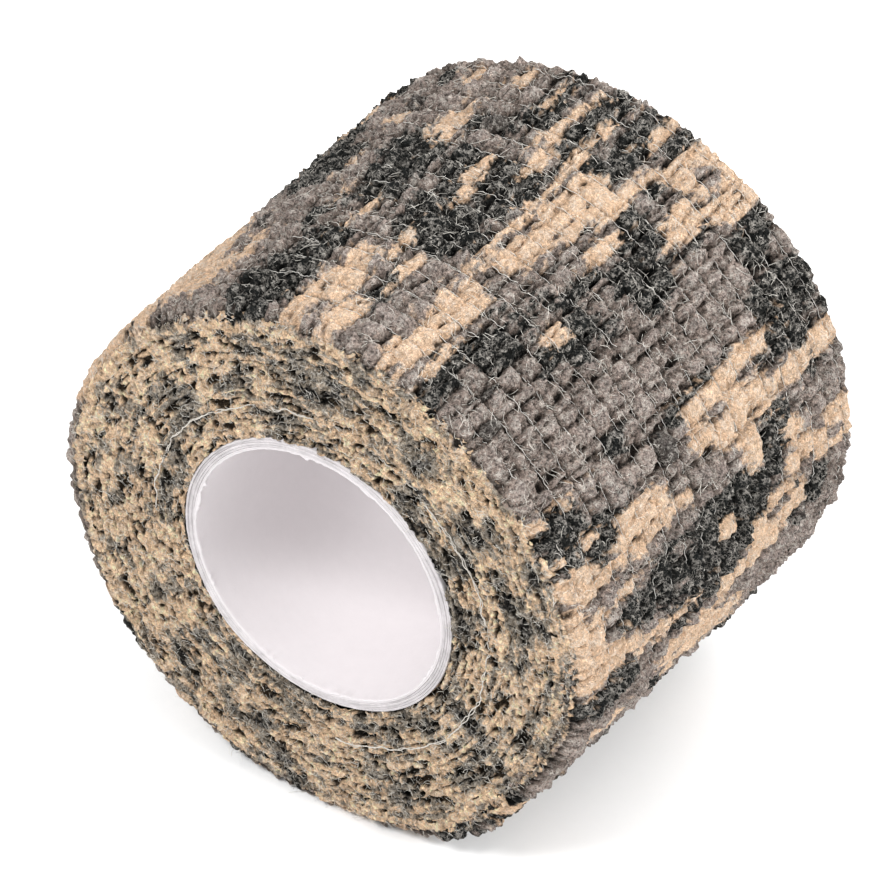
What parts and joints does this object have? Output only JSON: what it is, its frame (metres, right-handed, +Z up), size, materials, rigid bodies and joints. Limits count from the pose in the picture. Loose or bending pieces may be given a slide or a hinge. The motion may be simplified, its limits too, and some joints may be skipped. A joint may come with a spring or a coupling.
{
  "type": "self-clinging elastic wrap roll",
  "caption": "Roll of crinkled non-woven elastic wrap in a blotchy sand, grey and charcoal print, wound on a paper core, with a free end that peels off.",
  "frame": {"origin": "middle of the core's bore, on its axis", "axes": "+Y along the roll's axis, away from the end with the loose thread; +Z up when the roll lies on its side; +X towards the free end"},
  "size_m": [0.0626, 0.0502, 0.0619],
  "materials": {
    "liner_paper": "smooth white paper with a slight gloss",
    "core_paper": "plain white paper plies",
    "inner_fleece": "crinkled fleece web, matte and fuzzy",
    "printed_fleece": "crinkled fleece web printed in sand, grey and charcoal blotches, matte",
    "elastic_yarn": "thin pale elastic yarn"
  },
  "bodies": {
    "roll": {"core_liner": "liner_paper", "core_ply_1": "core_paper", "core_ply_2": "core_paper", "core_ply_3": "core_paper", "core_cover": "core_paper", "inner_web": "inner_fleece", "outer_web": "printed_fleece", "yarn_01": "elastic_yarn", "yarn_02": "elastic_yarn", "yarn_03": "elastic_yarn", "yarn_04": "elastic_yarn", "yarn_05": "elastic_yarn", "yarn_06": "elastic_yarn", "yarn_07": "elastic_yarn", "yarn_08": "elastic_yarn", "yarn_09": "elastic_yarn", "yarn_10": "elastic_yarn", "yarn_11": "elastic_yarn", "yarn_12": "elastic_yarn", "yarn_13": "elastic_yarn", "yarn_14": "elastic_yarn", "yarn_15": "elastic_yarn", "yarn_16": "elastic_yarn", "yarn_17": "elastic_yarn", "edge_thread": "elastic_yarn"},
    "tail_1": {"inner_web_tail_1": "inner_fleece", "outer_web_tail_1": "printed_fleece", "yarns_tail_1": "elastic_yarn"},
    "tail_2": {"inner_web_tail_2": "inner_fleece", "outer_web_tail_2": "printed_fleece", "yarns_tail_2": "elastic_yarn"},
    "tail_3": {"inner_web_tail_3": "inner_fleece", "outer_web_tail_3": "printed_fleece", "yarns_tail_3": "elastic_yarn"}
  },
  "joints": [
    {"name": "tail_peel_1", "type": "hinge", "parent": "roll", "child": "tail_1", "pos_m": [0.03174, 0, 0], "axis": [0, -1, 0], "range_deg": [0, 45]},
    {"name": "tail_peel_2", "type": "hinge", "parent": "tail_1", "child": "tail_2", "pos_m": [0.03019, 0, -0.00981], "axis": [0, -1, 0], "range_deg": [0, 45]},
    {"name": "tail_peel_3", "type": "hinge", "parent": "tail_2", "child": "tail_3", "pos_m": [0.02568, 0, -0.01866], "axis": [0, -1, 0], "range_deg": [0, 45]}
  ],
  "couplings": [
    {"joint": "tail_peel_2", "follows": "tail_peel_1", "ratio": 1},
    {"joint": "tail_peel_3", "follows": "tail_peel_1", "ratio": 1}
  ]
}
